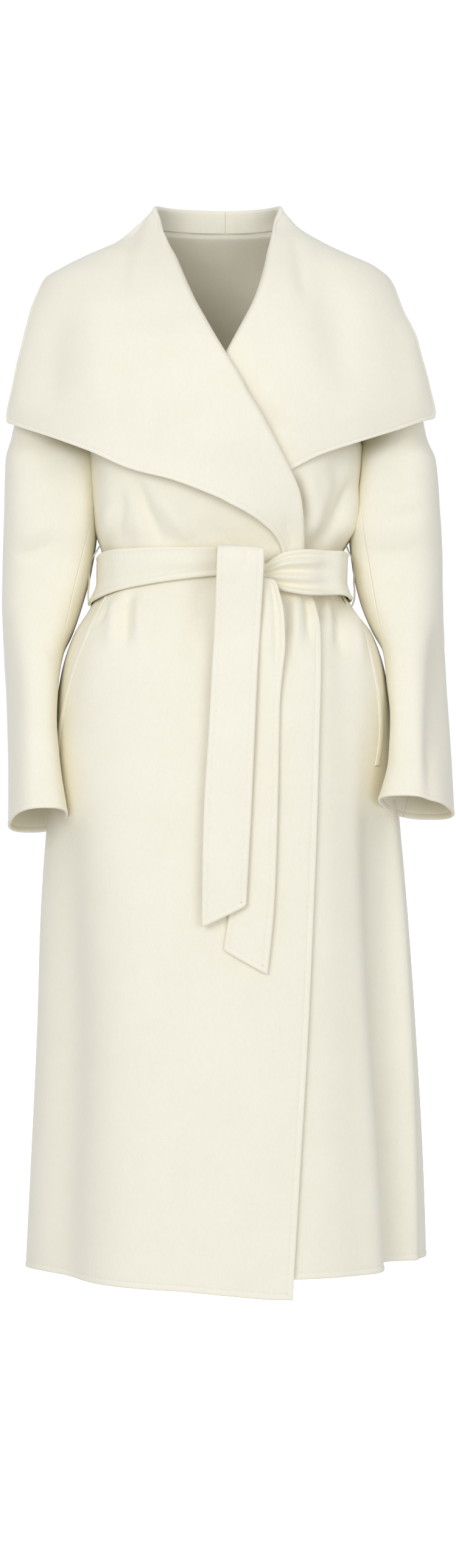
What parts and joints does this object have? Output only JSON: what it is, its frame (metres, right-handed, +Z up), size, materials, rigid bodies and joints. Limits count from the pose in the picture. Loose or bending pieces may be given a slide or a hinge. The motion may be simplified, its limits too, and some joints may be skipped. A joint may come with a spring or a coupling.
{
  "type": "belted wrap coat, worn",
  "caption": "Long hollow wrap coat as it hangs when worn, with a wide shawl collar that covers the shoulders, slim sleeves, slanted side pockets and a belt tied in front.",
  "frame": {"origin": "middle of the neck, at the height where the collar leaves the shoulders", "axes": "-Y is the front, +X the wearer's left, +Z up"},
  "size_m": [0.5129, 0.3517, 1.2284],
  "materials": {
    "wool": "brushed double-faced wool, matt, with a short soft nap"
  },
  "bodies": {
    "root": {"front_right": "wool", "front_left": "wool", "back": "wool", "collar_right": "wool", "collar_left": "wool", "sleeve_right_top": "wool", "sleeve_right_under": "wool", "sleeve_left_top": "wool", "sleeve_left_under": "wool", "belt_round": "wool", "belt_knot": "wool", "belt_end_front": "wool", "belt_end_under": "wool", "belt_loop_right": "wool", "belt_loop_left": "wool", "pocket_lip_right": "wool", "pocket_lip_left": "wool"}
  },
  "joints": []
}
